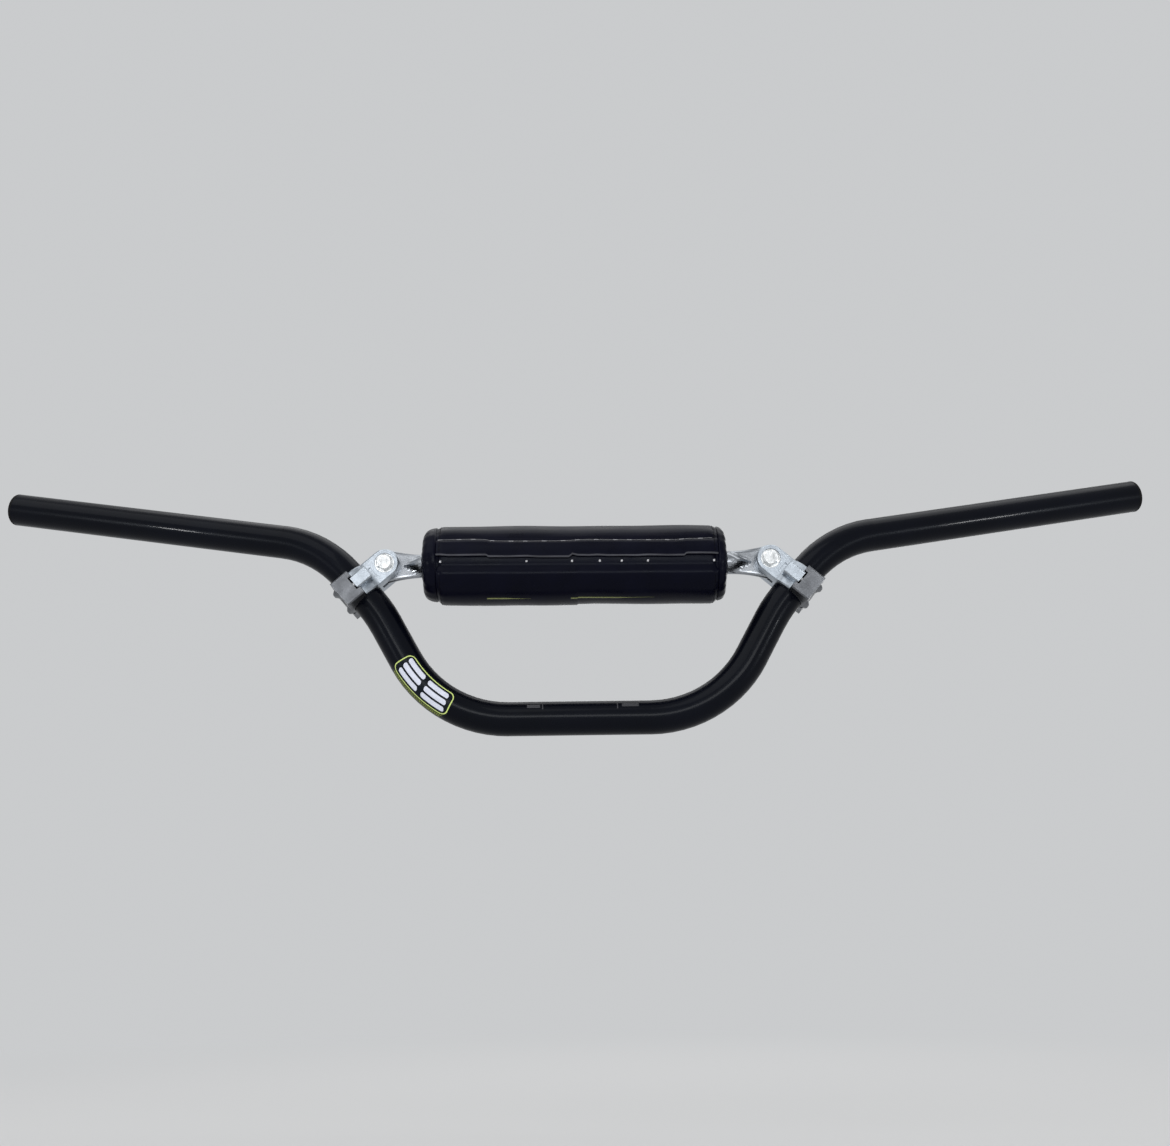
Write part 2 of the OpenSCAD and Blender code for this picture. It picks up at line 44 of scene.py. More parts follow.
# The part's own sizes, in millimetres
TUBE_R = 11.1
BEND_R = 77.0
BASE_HALF = 46.0
PAD_Z = 103.477
PAD_R = 25.2
FOAM_HALF = 97.3
PAD_SHIFT = -2.1
COVER_SHIFT = -0.45
PAD_LEAN = 0.0062
SEAM_X = 92.15
END_DOME = {-1: 9.7, 1: 6.3}
VINYL = 1.0
CLOSURE = 2.5
HOLE_R = 8.25
SLIT_W = 0.8
FLAP_DEG = 0.0
JOGGLE_DEG = 8.0
RECESS_DEG = 19.0
UNDER_END_DEG = 46.0
STITCH_DEG = 27.0
TACK_DEG = -9.4
ACCENT_DEG = -69.5

# Finishes, as linear colours
BLACK_PAINT = (0.0011, 0.0015, 0.0040)
BLACK_PLASTIC = (0.003, 0.003, 0.0033)
VINYL_BLACK = (0.0013, 0.0013, 0.0060)
# painted highlight: the light grey given to the flap's folded edge
VINYL_EDGE_HIGHLIGHT = (0.046, 0.047, 0.057)
FOAM_GREY = (0.022, 0.022, 0.024)
TAPE_BLACK = (0.012, 0.012, 0.014)
THREAD_GREY = (0.14, 0.14, 0.15)
# painted highlight: pale thread for some stitches of the flap's stitch line
THREAD_PALE_HIGHLIGHT = (0.36, 0.36, 0.38)
# light thread for the bar-tacks at the pad's ends and for small tacks between them that are painted glints
THREAD_LIGHT_GLINT = (0.75, 0.75, 0.78)
THREAD_BLACK = (0.002, 0.002, 0.004)
POLISHED = (0.315, 0.333, 0.358)
CAST = (0.385, 0.425, 0.47)
CAP_CAST = (0.15, 0.157, 0.17)
SCREW = (0.34, 0.35, 0.36)
ZINC = (0.70, 0.72, 0.73)
PRINT_GREEN = (0.66, 0.80, 0.24)
PRINT_WHITE = (0.72, 0.75, 0.86)
PRINT_HATCH = (0.24, 0.29, 0.05)
PRINT_OLIVE = (0.019, 0.023, 0.005)
PRINT_PALE = (0.32, 0.35, 0.12)
PRINT_DARK = (0.006, 0.009, 0.014)
MARK_GREY = (0.045, 0.046, 0.052)
STUDIO = (0.59, 0.60, 0.61)
COOL_SHEEN = (0.84, 0.92, 1.0)


# Node materials

def new_material(name):
    mat = bpy.data.materials.new(name)
    mat.use_nodes = True
    tree = mat.node_tree
    return mat, tree, tree.nodes["Principled BSDF"]


def add(tree, kind, values=None, **settings):
    made = tree.nodes.new("ShaderNode" + kind)
    for key, value in settings.items():
        setattr(made, key, value)
    for key, value in (values or {}).items():
        made.inputs[key].default_value = value
    return made


def object_coords(tree, scale=(1.0, 1.0, 1.0), turn=(0.0, 0.0, 0.0)):
    place = add(tree, "Mapping", {"Scale": scale, "Rotation": turn})
    tree.links.new(add(tree, "TexCoord").outputs["Object"], place.inputs["Vector"])
    return place.outputs["Vector"]


def noise(tree, coords, scale, detail=3.0, rough=0.55):
    made = add(tree, "TexNoise", {"Scale": scale, "Detail": detail, "Roughness": rough})
    tree.links.new(coords, made.inputs["Vector"])
    return made.outputs["Fac"]


def remap(tree, source, low, high, from_low=0.3, from_high=0.7):
    made = add(tree, "MapRange", {"From Min": from_low, "From Max": from_high, "To Min": low, "To Max": high})
    tree.links.new(source, made.inputs["Value"])
    return made.outputs["Result"]


def tint(tree, source, colour, dark=0.85, light=1.15, from_low=0.3, from_high=0.7):
    ramp = add(tree, "ValToRGB")
    ends = ramp.color_ramp.elements
    ends[0].position, ends[1].position = from_low, from_high
    ends[0].color = (*[c * dark for c in colour], 1.0)
    ends[1].color = (*[c * light for c in colour], 1.0)
    tree.links.new(source, ramp.inputs["Fac"])
    return ramp.outputs["Color"]


def bump(tree, source, depth, strength=1.0, under=None):
    made = add(tree, "Bump", {"Distance": depth, "Strength": strength})
    tree.links.new(source, made.inputs["Height"])
    if under is not None:
        tree.links.new(under, made.inputs["Normal"])
    return made.outputs["Normal"]


def finish_shader(tree, shader, colour, rough, normal, metallic=0.0, specular=0.5, sheen=(1.0, 1.0, 1.0)):
    tree.links.new(colour, shader.inputs["Base Color"])
    tree.links.new(rough, shader.inputs["Roughness"])
    tree.links.new(normal, shader.inputs["Normal"])
    shader.inputs["Metallic"].default_value = metallic
    shader.inputs["Specular IOR Level"].default_value = specular
    shader.inputs["Specular Tint"].default_value = (*sheen, 1.0)


def paint_material():
    """Satin black paint under a thin clear coat, with an orange-peel skin and faint handling marks."""
    mat, tree, shader = new_material("satin_black_paint")
    coords = object_coords(tree)
    peel = noise(tree, coords, 650.0, 2.0)
    cloud = noise(tree, coords, 22.0, 4.0)
    mottle = noise(tree, object_coords(tree, (60.0, 260.0, 260.0)), 1.0, 3.0)
    skin = bump(tree, peel, 0.00004, 0.5)
    finish_shader(tree, shader, tint(tree, cloud, BLACK_PAINT, 0.8, 1.3),
                  remap(tree, mottle, 0.24, 0.32), skin, specular=0.08, sheen=COOL_SHEEN)
    shader.inputs["Coat Weight"].default_value = 0.08
    shader.inputs["Coat Roughness"].default_value = 0.06
    return mat


def plastic_material():
    """Matte moulded plastic with a spark-eroded texture."""
    mat, tree, shader = new_material("moulded_black_plastic")
    coords = object_coords(tree)
    grain = noise(tree, coords, 1800.0, 2.0)
    cloud = noise(tree, coords, 90.0)
    finish_shader(tree, shader, tint(tree, cloud, BLACK_PLASTIC), remap(tree, grain, 0.5, 0.66),
                  bump(tree, grain, 0.00006, 0.6), specular=0.12)
    return mat


def polished_material():
    """Polished aluminium with fine lines along the bar and a few smears."""
    mat, tree, shader = new_material("polished_aluminium")
    lines = noise(tree, object_coords(tree, (12.0, 2600.0, 2600.0)), 1.0, 2.0)
    smear = noise(tree, object_coords(tree, (90.0, 160.0, 160.0)), 1.0, 4.0)
    finish_shader(tree, shader, tint(tree, smear, POLISHED, 0.86, 1.08), remap(tree, smear, 0.18, 0.29),
                  bump(tree, lines, 0.00001, 0.35), metallic=1.0)
    return mat


def cast_material(name, colour, rough_low, rough_high, depth):
    """Tumbled cast aluminium: a soft satin skin with small pits and rubbed places."""
    mat, tree, shader = new_material(name)
    coords = object_coords(tree)
    grain = noise(tree, coords, 1300.0, 4.0)
    cloud = noise(tree, coords, 130.0, 4.0)
    pits = add(tree, "TexVoronoi", {"Scale": 620.0}, feature="F1")
    tree.links.new(coords, pits.inputs["Vector"])
    pit = remap(tree, pits.outputs["Distance"], 0.0, 1.0, 0.05, 0.2)
    skin = bump(tree, grain, depth, 0.6, bump(tree, pit, depth, 0.3))
    finish_shader(tree, shader, tint(tree, cloud, colour, 0.86, 1.1), remap(tree, cloud, rough_high, rough_low),
                  skin, metallic=1.0)
    return mat


def plated_material(name, colour, rough_low, rough_high):
    """Zinc-plated steel with turning lines and slightly clouded plating."""
    mat, tree, shader = new_material(name)
    coords = object_coords(tree)
    cloud = noise(tree, coords, 260.0, 3.0)
    fine = noise(tree, coords, 2200.0, 2.0)
    finish_shader(tree, shader, tint(tree, cloud, colour, 0.9, 1.06), remap(tree, cloud, rough_low, rough_high),
                  bump(tree, fine, 0.00002, 0.4), metallic=1.0)
    return mat


def vinyl_material():
    """Glossy black vinyl with a fine leather-like grain."""
    mat, tree, shader = new_material("black_vinyl")
    coords = object_coords(tree)
    grain = add(tree, "TexVoronoi", {"Scale": 900.0}, feature="DISTANCE_TO_EDGE")
    tree.links.new(coords, grain.inputs["Vector"])
    cells = remap(tree, grain.outputs["Distance"], 0.0, 1.0, 0.0, 0.16)
    cloud = noise(tree, coords, 55.0, 4.0)
    soft = noise(tree, coords, 140.0, 2.0)
    skin = bump(tree, cells, 0.00003, 0.35, bump(tree, soft, 0.0004, 0.12))
    finish_shader(tree, shader, tint(tree, cloud, VINYL_BLACK, 0.8, 1.3), remap(tree, cloud, 0.24, 0.36),
                  skin, specular=0.085, sheen=COOL_SHEEN)
    return mat


def painted_edge_highlight_material():
    """The flap's folded edge, coloured a lighter grey than the vinyl as a painted highlight, mottled by noise."""
    mat, tree, shader = new_material("vinyl_edge_painted_highlight")
    coords = object_coords(tree)
    mottle = noise(tree, object_coords(tree, (60.0, 500.0, 500.0)), 1.0, 3.0)
    finish_shader(tree, shader, tint(tree, mottle, VINYL_EDGE_HIGHLIGHT, 0.6, 1.35), remap(tree, mottle, 0.3, 0.45),
                  bump(tree, noise(tree, coords, 900.0), 0.00005, 0.4), specular=0.2)
    return mat


def foam_material():
    """Closed-cell foam: open skin of small cut cells."""
    mat, tree, shader = new_material("closed_cell_foam")
    coords = object_coords(tree)
    cells = add(tree, "TexVoronoi", {"Scale": 1100.0}, feature="F1")
    tree.links.new(coords, cells.inputs["Vector"])
    finish_shader(tree, shader, tint(tree, noise(tree, coords, 300.0), FOAM_GREY),
                  remap(tree, cells.outputs["Distance"], 0.95, 0.8, 0.1, 0.6),
                  bump(tree, cells.outputs["Distance"], 0.0004, 0.8), specular=0.2)
    return mat


def tape_material():
    """Hook-and-loop tape: a fuzzy pile with rows of hooks."""
    mat, tree, shader = new_material("closure_tape")
    rows = noise(tree, object_coords(tree, (700.0, 1500.0, 1500.0)), 1.0, 2.0)
    finish_shader(tree, shader, tint(tree, rows, TAPE_BLACK, 0.6, 1.6), remap(tree, rows, 0.75, 0.95),
                  bump(tree, rows, 0.0005, 0.9), specular=0.2)
    shader.inputs["Sheen Weight"].default_value = 0.4
    return mat


def thread_material(name, colour, specular=0.4):
    """Twisted sewing thread."""
    mat, tree, shader = new_material(name)
    ply = add(tree, "TexWave", {"Scale": 900.0, "Distortion": 1.0}, bands_direction="DIAGONAL")
    tree.links.new(object_coords(tree), ply.inputs["Vector"])
    finish_shader(tree, shader, tint(tree, ply.outputs["Fac"], colour, 0.7, 1.1, 0.0, 1.0),
                  remap(tree, ply.outputs["Fac"], 0.5, 0.35, 0.0, 1.0),
                  bump(tree, ply.outputs["Fac"], 0.0002, 0.8), specular=specular)
    return mat


def print_material(name, colour, rough=0.3, specular=0.3):
    """Screen-printed ink on film, with a slight grain and rubbed gloss."""
    mat, tree, shader = new_material(name)
    coords = object_coords(tree)
    cloud = noise(tree, coords, 420.0, 4.0)
    finish_shader(tree, shader, tint(tree, cloud, colour, 0.9, 1.05), remap(tree, cloud, rough, rough + 0.12),
                  bump(tree, noise(tree, coords, 1500.0), 0.00003, 0.5), specular=specular)
    return mat


# Meshes

def mesh_piece(name, verts, faces, material, smooth=True):
    """A mesh object from points in millimetres, riding on the one body."""
    data = bpy.data.meshes.new(name)
    data.from_pydata((np.asarray(verts, float) * MM).tolist(), [], faces)
    data.validate()
    data.shade_smooth() if smooth else data.shade_flat()
    piece = bpy.data.objects.new(name, data)
    bpy.context.scene.collection.objects.link(piece)
    data.materials.append(material)
    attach(piece, BODY)
    return piece


def grid_faces(rows, columns, start=0, wrap=False):
    faces = []
    for r in range(rows - 1):
        for c in range(columns if wrap else columns - 1):
            d = (c + 1) % columns
            a, b = start + r * columns, start + (r + 1) * columns
            faces.append((a + c, a + d, b + d, b + c))
    return faces


def capsules(ends, radius, sides=6):
    """Short round-ended threads between pairs of points, with their faces."""
    verts, faces = [], []
    profile = [(-0.9, 0.45), (-0.45, 0.9), (0.0, 1.0), (1.0, 1.0), (1.45, 0.9), (1.9, 0.45)]
    for first, second in ends:
        first, second = np.asarray(first, float), np.asarray(second, float)
        axis = second - first
        length = np.linalg.norm(axis)
        axis = axis / length
        side = np.cross(axis, (0.0, 0.0, 1.0) if abs(axis[2]) < 0.9 else (1.0, 0.0, 0.0))
        side /= np.linalg.norm(side)
        other = np.cross(axis, side)
        start = len(verts)
        for along, share in profile:
            centre = first + axis * (along * radius if along <= 0 else length * min(along, 1.0) + max(along - 1.0, 0) * radius)
            for k in range(sides):
                a = 2 * math.pi * k / sides
                verts.append(centre + radius * share * (math.cos(a) * side + math.sin(a) * other))
        faces += grid_faces(len(profile), sides, start, wrap=True)
        faces.append(tuple(start + k for k in reversed(range(sides))))
        last = start + (len(profile) - 1) * sides
        faces.append(tuple(last + k for k in range(sides)))
    return verts, faces


def solidify(piece, thickness_mm):
    """Gives a draped sheet its thickness, outward from the surface that it lies on."""
    skin = piece.modifiers.new("thickness", "SOLIDIFY")
    skin.thickness = thickness_mm * MM
    skin.offset = 1.0
    return piece


# Pad: the cover's shape comes from a cloth simulation of its envelope

ENVELOPE_RINGS = 49
ENVELOPE_SIDES = 48
SWELL_MM = 0.9


def envelope_mesh():
    """A closed drum between the seams, and which of its points are sewn down."""
    xs = np.linspace(-SEAM_X, SEAM_X, ENVELOPE_RINGS)
    angles = np.radians(STITCH_DEG) + 2 * np.pi * np.arange(ENVELOPE_SIDES) / ENVELOPE_SIDES
    radius = PAD_R - 0.5
    verts = [(x, -radius * math.cos(a), radius * math.sin(a)) for x in xs for a in angles]
    sides = ENVELOPE_SIDES
    faces = [tuple(reversed(f)) for f in grid_faces(ENVELOPE_RINGS, sides, wrap=True)]
    faces.append(tuple(range(sides)))
    faces.append(tuple(reversed([(ENVELOPE_RINGS - 1) * sides + k for k in range(sides)])))
    sewn = [k for k in range(len(verts)) if k < sides or k >= (ENVELOPE_RINGS - 1) * sides or k % sides == 0]
    return verts, faces, sewn


def simulate_envelope():
    """Inflates the envelope against its seams; returns how far each point swells, in millimetres."""
    verts, faces, sewn = envelope_mesh()
    data = bpy.data.meshes.new("envelope")
    data.from_pydata((np.asarray(verts) * MM * 10).tolist(), [], faces)
    drum = bpy.data.objects.new("envelope", data)
    bpy.context.scene.collection.objects.link(drum)
    drum.vertex_groups.new(name="sewn").add(sewn, 1.0, "REPLACE")
    cloth = drum.modifiers.new("cloth", "CLOTH")
    cloth.settings.quality = 6
    cloth.settings.use_pressure = True
    cloth.settings.uniform_pressure_force = 4.0
    cloth.settings.tension_stiffness = 25.0
    cloth.settings.compression_stiffness = 12.0
    cloth.settings.bending_stiffness = 1.5
    cloth.settings.vertex_group_mass = "sewn"
    cloth.settings.effector_weights.gravity = 0.0
    cloth.point_cache.frame_start, cloth.point_cache.frame_end = 1, 20
    for number in range(1, 21):
        bpy.context.scene.frame_set(number)
    moved = drum.evaluated_get(bpy.context.evaluated_depsgraph_get())
    points = np.array([v.co for v in moved.data.vertices], float) / MM / 10
    bpy.data.objects.remove(drum)
    bpy.context.scene.frame_set(1)
    swell = np.hypot(points[:, 1], points[:, 2]) - (PAD_R - 0.5)
    swell = swell.reshape(ENVELOPE_RINGS, ENVELOPE_SIDES)
    return np.clip(swell * SWELL_MM / np.median(swell), 0.0, 1.25 * SWELL_MM)


SWELL = simulate_envelope()


def smooth(low, high, value):
    t = np.clip((value - low) / (high - low), 0.0, 1.0)
    return t * t * (3 - 2 * t)


def swell_at(x, deg):
    """The simulated swell at places on the pad, read between the envelope's points."""
    u = np.clip((x + SEAM_X) / (2 * SEAM_X), 0, 1) * (ENVELOPE_RINGS - 1)
    v = ((deg - STITCH_DEG) / 360.0 % 1.0) * ENVELOPE_SIDES
    i = np.clip(np.floor(u).astype(int), 0, ENVELOPE_RINGS - 2)
    j = np.floor(v).astype(int) % ENVELOPE_SIDES
    k = (j + 1) % ENVELOPE_SIDES
    fu, fv = smooth(0, 1, u - i), smooth(0, 1, v - np.floor(v))
    low = SWELL[i, j] * (1 - fv) + SWELL[i, k] * fv
    high = SWELL[i + 1, j] * (1 - fv) + SWELL[i + 1, k] * fv
    return low * (1 - fu) + high * fu


DEG_PER_MM = 180 / math.pi / PAD_R

# The flap's free edge wanders a little: place along the bar and height, in millimetres
FLAP_WAVE = [(-93, 0.6), (-89, 0.1), (-84, -0.3), (-66, -0.2), (-59.6, -0.1), (-58.4, -1.2), (-45, -1.25),
             (-33, -1.0), (-26, -1.45), (-5.2, -1.6), (-3.9, 0.35), (0, -0.65), (7, -0.8), (13, -0.5), (20, -0.9),
             (39, -1.0), (46, -0.7), (58, -1.0), (69.6, -0.95), (70.9, 0.55), (84, 0.4), (93, 0.25)]
STITCH_WAVE = [(-93, 0.3), (-65, 0.45), (-59.6, 0.25), (-57, -0.8), (-45, -1.2), (-32, -1.35), (-13, -1.4), (-5, -1.0),
               (0, -0.4), (7, 0.0), (20, -0.4), (33, -0.8), (65, -0.75), (68, -0.25), (72, 0.2), (78, 0.15), (93, 0.95)]


def wave(table, x):
    """Degrees above the flap's or the stitch line's mean place, x millimetres from the pad's middle."""
    return np.interp(x + COVER_SHIFT, [p[0] for p in table], [p[1] for p in table]) * DEG_PER_MM


def cover_radius(x, deg):
    """Outer radius of the cover at a place, in millimetres."""
    x, deg = np.broadcast_arrays(np.asarray(x, float), np.asarray(deg, float))
    rad = np.radians(deg)
    from_seam = SEAM_X - np.abs(x)
    r = PAD_R - 0.5 + swell_at(x, deg)
    hang = np.where(x < 0, 1.7, 1.1) * (1 - np.exp(-from_seam / 1.2))
    r = r + hang * np.clip(-np.sin(rad), 0, 1) ** 1.5
    r = r + 0.16 * np.sin(x * 0.061 + 0.8) * np.cos(rad * 2 + 0.7) + 0.12 * np.sin(x * 0.117 + rad * 3 + 2.0)
    r = r + 0.1 * np.exp(-from_seam / 5.0) * np.sin(rad * 26 + np.sign(x) * 1.3)
    r = r - 0.35 * np.exp(-from_seam / 1.2)
    above_line = (deg - STITCH_DEG - wave(STITCH_WAVE, x)) / DEG_PER_MM
    above_edge = (deg - FLAP_DEG - wave(FLAP_WAVE, x)) / DEG_PER_MM
    r = r - 0.45 * np.exp(-(above_line / 1.0) ** 2)
    r = r + 0.05 * np.sin(x * 1.9) * np.exp(-(above_line / 2.5) ** 2)
    r = r + 0.25 * smooth(0.5, -2.0, above_line) * smooth(-3.0, 0.0, above_edge)
    r = r + 0.3 * np.exp(-(above_edge / 0.9) ** 2)
    return r


def recess(deg):
    """How far the panel steps in towards the foam, on its way beneath the flap; degrees below the flap's edge."""
    return (CLOSURE + 0.2) * smooth(-RECESS_DEG - JOGGLE_DEG - 3, -RECESS_DEG + 6, deg - 360 - FLAP_DEG)


def pad_point(x, deg, radius, lean=PAD_LEAN, shift=COVER_SHIFT):
    """A place on the pad in the part's frame; x is measured from the cover's middle, and the cover leans a little."""
    x, deg, radius = np.broadcast_arrays(x, np.asarray(deg, float), radius)
    rad = np.radians(deg)
    return np.stack([x + shift, -radius * np.cos(rad), PAD_Z - lean * x + radius * np.sin(rad)], -1)


def cover_path(x):
    """Angles and outer radii of the wrapped panel at one station, from the flap's edge to its hidden end."""
    edge = FLAP_DEG + float(wave(FLAP_WAVE, x))
    step_out = 360 + FLAP_DEG - RECESS_DEG - JOGGLE_DEG - 4
    step_in = 360 + FLAP_DEG - 3
    shown = np.concatenate([np.linspace(edge, edge + 6, 13)[:-1], np.linspace(edge + 6, step_out, 114)[:-1]])
    hidden = np.concatenate([np.linspace(step_out, step_in, 22)[:-1], np.linspace(step_in, 360 + UNDER_END_DEG, 20)])
    deg = np.concatenate([shown, hidden])
    plain = np.minimum(deg, 360 + FLAP_DEG - RECESS_DEG)
    return deg, cover_radius(x, plain) - recess(deg)


def cover_loop(x):
    """Closed loop round the panel's thickness: outside, hidden end, inside, rounded flap edge."""
    deg, r = cover_path(x)
    half = VINYL / 2
    turn = np.radians(np.linspace(60, -60, 5))
    tips = np.degrees(half * np.cos(turn) / PAD_R)
    heights = half * np.sin(turn) - half
    angles = np.concatenate([deg, deg[-1] + tips, deg[::-1], deg[0] - tips])
    radii = np.concatenate([r, r[-1] + heights, r[::-1] - VINYL, r[0] + heights[::-1]])
    return pad_point(x, angles, radii), len(deg)


def main_panel(material, edge_highlight_material):
    """The wrapped vinyl panel, with a painted highlight along its flap edge."""
    stations = np.concatenate([-SEAM_X + np.array([0, 0.4, 0.9]), np.linspace(-SEAM_X + 1.6, SEAM_X - 1.6, 150),
                               SEAM_X - np.array([0.9, 0.4, 0])])
    loops = [cover_loop(x) for x in stations]
    count, shown = len(loops[0][0]), loops[0][1]
    verts = np.concatenate([p for p, _ in loops])
    faces = [tuple(reversed(f)) for f in grid_faces(len(stations), count, wrap=True)]
    tip = 5
    inside = lambda k: 2 * shown + tip - 1 - k
    for start, flip in ((0, False), ((len(stations) - 1) * count, True)):
        for k in range(shown - 1):
            face = (start + k, start + inside(k), start + inside(k + 1), start + k + 1)
            faces.append(tuple(reversed(face)) if flip else face)
        for ring in ([shown - 1, *range(shown, shown + tip), shown + tip],
                     [0, *reversed(range(2 * shown + tip, 2 * shown + 2 * tip)), 2 * shown + tip - 1]):
            face = tuple(start + k for k in ring)
            faces.append(face if flip else tuple(reversed(face)))
    piece = mesh_piece("pad_main_panel", verts, faces, material)
    piece.data.materials.append(edge_highlight_material)
    # the loop points nearest the flap's edge take the painted highlight material
    highlight_points = 4
    for face in piece.data.polygons:
        places = [k % count for k in face.vertices]
        if all(k < highlight_points or k >= 2 * shown + tip for k in places):
            face.material_index = 1
    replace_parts(piece, "pad_cover")
    return piece


def gusset_profile(deg, dome):
    """Outer line of a gusset at one angle, from the hole to beneath the panel: distance past the seam and radius."""
    rad = math.radians(deg)
    lip, rim = 1.3, PAD_R - 0.35
    u = np.sin(np.linspace(0, math.pi / 2, 26)) ** 1.2
    past = dome * (1 - u ** 6) ** 0.5 + lip * np.exp(-(u / 0.18) ** 2)
    line = np.stack([past, HOLE_R + 0.35 + u * (rim - HOLE_R - 0.35)], 1)
    line = np.concatenate([line[line[:, 0] > 0.7], [(0.5, rim - 0.35), (-0.2, rim - 1.2), (-1.0, rim - 1.75),
                                                    (-2.0, rim - 1.8)]])
    share = smooth(12.0, PAD_R - 1, line[:, 1])
    pucker = 0.12 * math.sin(rad * 22) + 0.1 * math.sin(rad * 9 + 1.0)
    line[:, 0] += (0.2 * math.sin(rad * 3 + 0.6) + pucker) * share * (line[:, 0] > 1.0)
    line[:, 1] += 0.4 * pucker * share
    line[:, 0] += 0.2 * math.sin(rad * 11) * (1 - smooth(HOLE_R, HOLE_R + 5, line[:, 1]))
    return line


def gusset(side, material):
    """One end of the pad, sewn to the panel, with the slit that lets it go on the crossbar."""
    gap = math.degrees(SLIT_W / 2 / 16.0)
    degrees = np.linspace(-180 + gap, 180 - gap, 145)
    verts, count = [], 0
    for deg in degrees:
        outer = gusset_profile(deg, END_DOME[side])
        along = np.gradient(outer, axis=0)
        along /= np.linalg.norm(along, axis=1)[:, None]
        inner = outer - VINYL * np.stack([along[:, 1], -along[:, 0]], 1)
        lip = np.array([(outer[0] + inner[0]) / 2 - along[0] * VINYL / 2])
        loop = np.concatenate([outer, inner[::-1], lip])
        count = len(loop)
        verts.append(pad_point(side * (SEAM_X + loop[:, 0]), deg, loop[:, 1]))
    faces = grid_faces(len(degrees), count, wrap=True)
    faces.append(tuple(reversed(range(count))))
    faces.append(tuple((len(degrees) - 1) * count + k for k in range(count)))
    if side > 0:
        faces = [tuple(reversed(f)) for f in faces]
    name = "right" if side > 0 else "left"
    piece = mesh_piece("pad_end_" + name, np.concatenate(verts), faces, material)
    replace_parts(piece, "pad_gusset_" + name)
    return piece


def pad_core(material):
    """The foam tube that the cover is wrapped round, thinner beneath the closure, slit at the back."""
    gap = math.degrees(SLIT_W / 2 / 16.0)
    degrees = np.linspace(-180 + gap, 180 - gap, 145)
    half = FOAM_HALF
    verts, count = [], 0
    for deg in degrees:
        under = smooth(FLAP_DEG - RECESS_DEG - JOGGLE_DEG - 6, FLAP_DEG - RECESS_DEG - JOGGLE_DEG, deg)
        under *= 1 - smooth(UNDER_END_DEG + 2, UNDER_END_DEG + 8, deg)
        r = PAD_R - VINYL - 0.75 - (CLOSURE + 0.3) * under
        ripple = 0.05 * math.sin(math.radians(deg) * 17)
        edge = [(half - 4 + 4 * math.sin(a), r - 4 + 4 * math.cos(a)) for a in np.radians(np.linspace(0, 84, 7))]
        line = [(0, r + ripple), (half / 2, r), *edge, (half, HOLE_R + 1.2), (half - 1.0, HOLE_R + 0.1)]
        loop = np.array(line + [(-x, y) for x, y in reversed(line[1:])])
        count = len(loop)
        verts.append(pad_point(loop[:, 0], deg, loop[:, 1], lean=0.0, shift=PAD_SHIFT))
    faces = grid_faces(len(degrees), count, wrap=True)
    faces.append(tuple(range(count)))
    faces.append(tuple(reversed([(len(degrees) - 1) * count + k for k in range(count)])))
    piece = mesh_piece("pad_core", np.concatenate(verts), faces, material)
    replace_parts(piece, "pad_foam")
    return piece


def closure_strip(name, node, depth, material):
    """A strip of hook-and-loop tape between the flap and the panel's hidden end."""
    xs = np.linspace(-SEAM_X + 3, SEAM_X - 3, 80)
    degrees = np.linspace(FLAP_DEG + 3, FLAP_DEG + 40, 20)
    grid_x, grid_d = np.meshgrid(xs, degrees, indexing="ij")
    r = cover_radius(grid_x, np.full_like(grid_d, STITCH_DEG + 8)) - depth
    top = pad_point(grid_x, grid_d, r + 0.02 * np.sin(grid_x * 2.1) * np.sin(grid_d))
    piece = mesh_piece(name, top.reshape(-1, 3), grid_faces(len(xs), len(degrees)), material)
    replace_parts(solidify(piece, 0.5), node)
    return piece


def thread_run(name, xs_degs, radius, lift, material):
    """Stitches that dip into the cover at both ends; places are pairs of (x, degrees)."""
    ends = []
    for (x0, d0), (x1, d1) in xs_degs:
        ends.append([pad_point(x, d, cover_radius(x, d) + lift) for x, d in ((x0, d0), (x1, d1))])
    verts, faces = capsules(ends, radius)
    return mesh_piece(name, verts, faces, material)


def stitches(grey, pale, black, light):
    """The flap's stitch line with some stitches in pale thread as painted highlights, the seams at the gussets, and
    light tacks below the flap's edge: bar-tacks at the ends, painted glints between.
    """
    pitch, length = 3.1, 2.7
    places = np.arange(-SEAM_X + 1.2, SEAM_X - 1.2 - length, pitch)
    line = [tuple((x, STITCH_DEG + float(wave(STITCH_WAVE, x))) for x in (p, p + length)) for p in places]
    # every few stitches in pale thread: painted highlights along the stitch line
    highlit_stitches = [k for k in range(len(line)) if 7 * k * k % 11 < 3]
    thread_run("stitch_line", [line[k] for k in range(len(line)) if k not in highlit_stitches], 0.3, 0.12, grey)
    thread_run("stitch_line_highlights", [line[k] for k in highlit_stitches], 0.32, 0.14, pale)
    turn = 3.1 * DEG_PER_MM
    rounds = np.arange(FLAP_DEG + 6, 360 + FLAP_DEG - RECESS_DEG - JOGGLE_DEG - turn, turn)
    for side, name in ((-1, "left"), (1, "right")):
        at = side * (SEAM_X - 2.2)
        thread_run("seam_stitches_" + name, [((at, d), (at, d + turn * 0.68)) for d in rounds], 0.2, 0.02, black)
    # the first and last are bar-tacks; the five between are light thread placed where glints show: painted glints
    tacks_and_glints = [(-89.7, 1.0), (-33.5, 0.8), (-3.8, 1.0), (14.3, 1.0), (28.6, 1.0), (45.7, 1.0), (88.9, 1.1)]
    ends = []
    for x, size in tacks_and_glints:
        local = x - COVER_SHIFT
        low, high = (TACK_DEG - size * 1.3, TACK_DEG + size * 1.3)
        bases = [float(cover_radius(local, FLAP_DEG - RECESS_DEG) - recess(360 + d)) + 0.15 for d in (low, high)]
        for k in (-1, 0, 1):
            ends.append([pad_point(local + 0.42 * k + 0.1 * j, (low, high)[j], bases[j]) for j in (0, 1)])
    verts, faces = capsules(ends, 0.24)
    mesh_piece("bar_tacks_and_glints", verts, faces, light)


